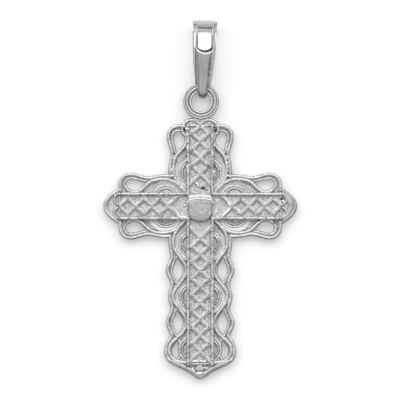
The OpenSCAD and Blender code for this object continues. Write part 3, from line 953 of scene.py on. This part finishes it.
# %% [markdown]
# ## Flaws of the casting
# Bubbles in the mould left small beads of metal, above all beside the rails of the top arm and in the groove
# inside its outer wires. Larger lumps stand above the pad and by the right tip. A seeded random source gives
# the same beads each time. Pits are beads painted near black, a painted shade that stands for the shade
# inside a pit.

# %% Beads
beads, pits = bmesh.new(), bmesh.new()


def groove_at(along):
    """The groove between the outer and the winding wire of a short arm."""
    spots = [((a[0] + b[0]) / 2, (a[1] + b[1]) / 2) for a, b in zip(SHORT_OUTER[:5], SHORT_WINDING[2:7])]
    for a, b in zip(spots, spots[1:]):
        if a[0] <= along <= b[0]:
            return a[1] + (b[1] - a[1]) * (along - a[0]) / (b[0] - a[0])
    return spots[0][1] if along < spots[0][0] else spots[-1][1]


luck = random.Random(11)


def bead(mould, x, y, z, r, stretch):
    """A bead of metal, drawn out or shortened along Y."""
    place = Matrix.Translation((x, y, z)) @ Matrix.Diagonal((r, r * stretch, r * 0.9, 1))
    bmesh.ops.create_icosphere(mould, subdivisions=2, radius=1.0, matrix=place)


for side in (1, -1):
    y = 2.9
    while y < 6.9:
        mould = pits if luck.random() < 0.3 else beads
        bead(mould, side * (RAIL_OFFSET + 0.13 + luck.uniform(-0.06, 0.06)), y, luck.uniform(1.04, 1.1),
             luck.uniform(0.07, 0.11), luck.uniform(0.7, 1.5))
        y += luck.uniform(0.2, 0.55)
    y = 2.6
    while y < 4.9:
        groove = groove_at(y) + luck.uniform(-0.04, 0.04)
        mould = pits if luck.random() < 0.3 else beads
        bead(mould, side * groove, y, 0.76, luck.uniform(0.07, 0.1), luck.uniform(0.8, 1.6))
        y += luck.uniform(0.2, 0.6)
# the larger ones, in the columns [x, y, z, radius]
LUMPS = [
    (-0.30, 1.93, 1.00, 0.16), (-0.13, 1.74, 1.00, 0.17), (0.06, 1.68, 0.96, 0.12),
    (7.15, 0.20, 0.66, 0.10), (7.03, 0.44, 0.70, 0.12), (7.46, -0.40, 0.64, 0.10),
    (7.30, -0.62, 0.62, 0.07), (1.22, -2.50, 0.74, 0.12), (1.42, -2.68, 0.74, 0.13),
    (-1.30, 0.08, 0.95, 0.12), (-1.45, -0.90, 1.06, 0.10), (1.55, -0.92, 1.04, 0.13),
]
PITS = [
    (0.15, 1.58, 0.93, 0.10), (0.33, 1.52, 0.93, 0.10), (0.52, 1.38, 0.93, 0.08), (6.87, 0.62, 0.90, 0.12),
    (1.12, -2.62, 0.72, 0.12), (-1.36, 6.50, 0.70, 0.12), (1.30, 6.45, 0.70, 0.11), (-1.05, 5.90, 1.13, 0.06),
    (-1.05, 5.35, 1.13, 0.07), (-1.05, 4.60, 1.13, 0.07), (-1.05, 3.60, 1.13, 0.06), (1.07, 5.60, 1.13, 0.06),
    (1.07, 4.90, 1.13, 0.07), (1.07, 4.20, 1.13, 0.07), (2.02, 0.55, 0.94, 0.07), (-5.10, 0.95, 1.12, 0.08),
]
for mould, rows in ((beads, LUMPS), (pits, PITS)):
    for x, y, z, r in rows:
        bead(mould, x, y, z, r, luck.uniform(0.8, 1.3))
for name, mould, finish in (("beads", beads, bead_finish), ("pits", pits, pit_shade_finish)):
    cool(mould, 0.03, 0.15)
    finish_piece(name, mould, finish, 70)

# %% [markdown]
# ## The boss
# A small lump with four sides sits on the foot's tip, beyond the end of the bar.

# %% Boss
boss = bmesh.new()
bmesh.ops.create_cone(boss, cap_ends=True, segments=4, radius1=0.55, radius2=0.48, depth=0.7,
                      matrix=Matrix.Translation((-0.05, -FOOT_PANEL - 0.42, 0.56)))
soften(boss, edges_where(boss, lambda co: co.z > 0.88), 0.07, 3)
cool(boss, 0.015, 0.4)
finish_piece("foot_boss", boss, tip_shade_finish, 50)

# %% [markdown]
# ## The bail
# A bail is cut flat from sheet, pierced, filed along its edges and then folded round a rod. It is made
# in the same way here: the blank's outline and its window are filled as one flat face, cut across at
# every small step of the fold, extruded, bevelled, and only then bent along the loop that the side
# view shows.

# %% Bail: the loop that it is folded to
WALL, BEND_R, FOLD_R = 0.3, 0.72, 1.25
FRONT_HALF, FRONT_SWEEP = 1.04, 37   # half the front leaf's width at the fold, and its sides' radius
BEND_HALF, BEND_ROUND = 0.36, 0.37   # half the bend's width, and its foot's radius seen from above
bail_top = BAIL_LOW + BAIL_LEN
bend_centre = Vector((BAIL_LOW + BEND_R, BEND_R))
fold_centre = Vector((bail_top - FOLD_R, FOLD_R))
bend_mid, fold_mid = BEND_R - WALL / 2, FOLD_R - WALL / 2
slope = math.atan2(fold_centre.y - bend_centre.y, fold_centre.x - bend_centre.x)
leaf = fold_centre.x - bend_centre.x
back_turn = math.pi / 2 + 2 * slope
# lengths along the loop: front leaf, fold, back leaf, bend
PARTS = [leaf, fold_mid * (math.pi + 2 * slope), leaf, bend_mid * (math.pi - 2 * slope)]
loop_length = sum(PARTS)
print("the bail's blank is", round(loop_length, 2), "mm long")


def heading(turn):
    """Direction in the side view."""
    return Vector((math.cos(turn), math.sin(turn)))


def on_loop(s, h):
    """Place in the side view at s along the loop, h out from the middle of the strip."""
    s %= loop_length
    if s < PARTS[0]:
        foot, out = Vector((bend_centre.x + s, WALL / 2)), Vector((0, -1))
    elif s < PARTS[0] + PARTS[1]:
        out = heading(-math.pi / 2 + (s - PARTS[0]) / fold_mid)
        foot = fold_centre + fold_mid * out
    elif s < loop_length - PARTS[3]:
        out = heading(back_turn)
        share = (s - PARTS[0] - PARTS[1]) / PARTS[2]
        foot = (fold_centre + fold_mid * out).lerp(bend_centre + bend_mid * out, share)
    else:
        out = heading(back_turn + (s - (loop_length - PARTS[3])) / bend_mid)
        foot = bend_centre + bend_mid * out
    return foot + out * h


def leaf_half(s):
    """Half of the blank's width at s along the loop."""
    place = on_loop(s, 0)
    down = bail_top - place.x
    front = math.sqrt(FRONT_SWEEP ** 2 - down ** 2) - FRONT_SWEEP + FRONT_HALF
    back = math.sqrt(BACK_SWEEP ** 2 - down ** 2) - BACK_SWEEP + BACK_HALF
    share = min(max((place.y - 0.88) / 0.2, 0), 1)
    neck = BEND_HALF + max(place.x - BAIL_LOW - BEND_ROUND, 0) / 3
    return min(front + (back - front) * share * share * (3 - 2 * share), neck)


# %% Bail: the blank
def cut(bm, place, across):
    """Cuts all faces along a plane through a place."""
    bmesh.ops.bisect_plane(bm, geom=bm.verts[:] + bm.edges[:] + bm.faces[:], dist=1e-5,
                           plane_co=place, plane_no=across)


WINDOW_HALF, WINDOW_R = 0.565, 0.72
blank = bmesh.new()
edge = [Vector((s, leaf_half(s))) for s in (loop_length * k / 240 for k in range(241))]
lines = thread(blank, there_and_back(edge), 0.0)
back_start = PARTS[0] + PARTS[1]     # s where the fold ends and the back leaf starts
window_turn = math.radians(13) + math.asin(0.6 / fold_mid)   # how far the window goes round the fold
window_top, window_low = back_start - fold_mid * window_turn, back_start + 1.07
curve = [math.radians(t) for t in range(-52, 53, 8)]
low_edge = [Vector((window_low - WINDOW_R + WINDOW_R * math.cos(t), WINDOW_R * math.sin(t))) for t in curve]
window = [Vector((window_top, -WINDOW_HALF)), *low_edge, Vector((window_top, WINDOW_HALF))]
lines += thread(blank, window, 0.0)
bmesh.ops.triangle_fill(blank, use_beauty=True, use_dissolve=False, edges=lines)
for k in range(1, 120):
    cut(blank, (loop_length * k / 120, 0, 0), (1, 0, 0))
bmesh.ops.remove_doubles(blank, verts=blank.verts, dist=1e-4)
thicken(blank, WALL)
# the two ends meet in the loop, so their walls go
middle = loop_length / 2
ends = [f for f in blank.faces if all(abs(v.co.x - middle) > middle - 1e-4 for v in f.verts)]
bmesh.ops.delete(blank, geom=ends, context="FACES")


def rim_edges(z):
    """Edges where the blank's flat face at height z meets its walls."""
    level = [e for e in edges_where(blank, lambda co: abs(co.z - z) < 1e-5) if len(e.link_faces) == 2]
    return [e for e in level if sum(abs(f.normal.z) > 0.5 for f in e.link_faces) == 1]


for z in (WALL, 0.0):
    soften(blank, rim_edges(z), 0.09, 3, clamp=False)
for k in range(-4, 5):
    cut(blank, (0, 0.08 * k, 0), (0, 1, 0))

# %% Bail: the fold
BAIL_X, BAIL_TURN = 0.2, 2           # x of the bail's foot, and its lean in degrees
for v in blank.verts:
    inner = v.co.z < WALL / 2
    place = on_loop(v.co.x, v.co.z - WALL / 2)
    past = place.x - fold_centre.x   # the sheet's inner face is filed flat where it turns up into the fold
    if inner and 0 < past and place.y < FOLD_R:
        flat = WALL - v.co.z + 0.7 * max(past - 0.17, 0) ** 2
        share = min(max((past - 0.62) / 0.28, 0), 1)
        place.y = min(place.y, flat + (place.y - flat) * share)
    x = v.co.y
    end = BAIL_LOW + BEND_ROUND - math.sqrt(BEND_ROUND ** 2 - x * x) if abs(x) < BEND_ROUND else 0
    v.co = Vector((x, max(place.x, end), place.y))
seam = [v for v in blank.verts if v.is_boundary]
bmesh.ops.remove_doubles(blank, verts=seam, dist=1e-3)
bmesh.ops.dissolve_degenerate(blank, dist=1e-4, edges=blank.edges[:])
bmesh.ops.recalc_face_normals(blank, faces=blank.faces)
swing = Matrix.Translation((BAIL_X, BAIL_LOW, 0)) @ Matrix.Rotation(math.radians(-BAIL_TURN), 4, "Z")
bmesh.ops.transform(blank, matrix=swing @ Matrix.Translation((0, -BAIL_LOW, 0)), verts=blank.verts)
print("open edges", sum(not e.is_manifold for e in blank.edges))
finish_piece("bail", blank, bail_finish, 35, "bail")

# %% [markdown]
# ## Table and light
# The table is plain and pale. It is lit a little from below, as a light table is, so that the openings stay
# bright. The light is a tent of soft light, brighter towards the top of the picture. A long lamp in it draws
# bright lines on the wires, and a small one overhead is mirrored in the bail's window, whose front leaf is
# also painted near white as a painted reflection.

# %% Table
TABLE_GREY, TABLE_GLOW = 0.53, 0.25
table_mesh = bpy.data.meshes.new("table")
table = bmesh.new()
bmesh.ops.create_grid(table, x_segments=2, y_segments=2, size=1.0)
table.to_mesh(table_mesh)
table.free()
floor = bpy.data.objects.new("table", table_mesh)
bpy.context.scene.collection.objects.link(floor)
pale = bpy.data.materials.new("pale_table")
pale.use_nodes = True
pale_sheet = Sheet(pale.node_tree)
pale_shader = pale_sheet.add("ShaderNodeBsdfPrincipled", {}, Base_Color=(TABLE_GREY,) * 3 + (1,),
                             Roughness=0.9, Emission_Color=(1, 1, 1, 1), Emission_Strength=TABLE_GLOW)
pale_sheet.add("ShaderNodeOutputMaterial", {}, pale_shader)
table_mesh.materials.append(pale)

# %% Light tent
TENT_STOPS = [(0.0, 0.2), (0.3, 0.36), (0.6, 0.77), (0.85, 1.0), (1.0, 1.0)]
scene = bpy.context.scene
scene.view_settings.view_transform = "Standard"
scene.world = bpy.data.worlds.new("tent")
scene.world.use_nodes = True
tent = Sheet(scene.world.node_tree)
way = tent.add("ShaderNodeTexCoord", {}, out=0)
way_x, way_y, way_z = tent.parts(way)
up = tent.add("ShaderNodeValToRGB", {"stops": TENT_STOPS}, way_z)
leaning = 0.8 + way_y.between(-0.6, 0.6) * 1.02 - way_x * 0.15
across = (way_y * way_y + way_z * way_z).root()
lamp = ((way_y * 0.6 + way_z * 0.8) / across).between(0.88, 0.985)
lamp = lamp * (1 - way_x.size().between(0.65, 0.85))
overhead = way_z.between(0.994, 0.997)
background = tent.add("ShaderNodeBackground", {}, up, leaning + lamp * 1.9 + overhead * 1.8)
tent.add("ShaderNodeOutputWorld", {}, background)
print("the tent has", len(scene.world.node_tree.nodes), "nodes")
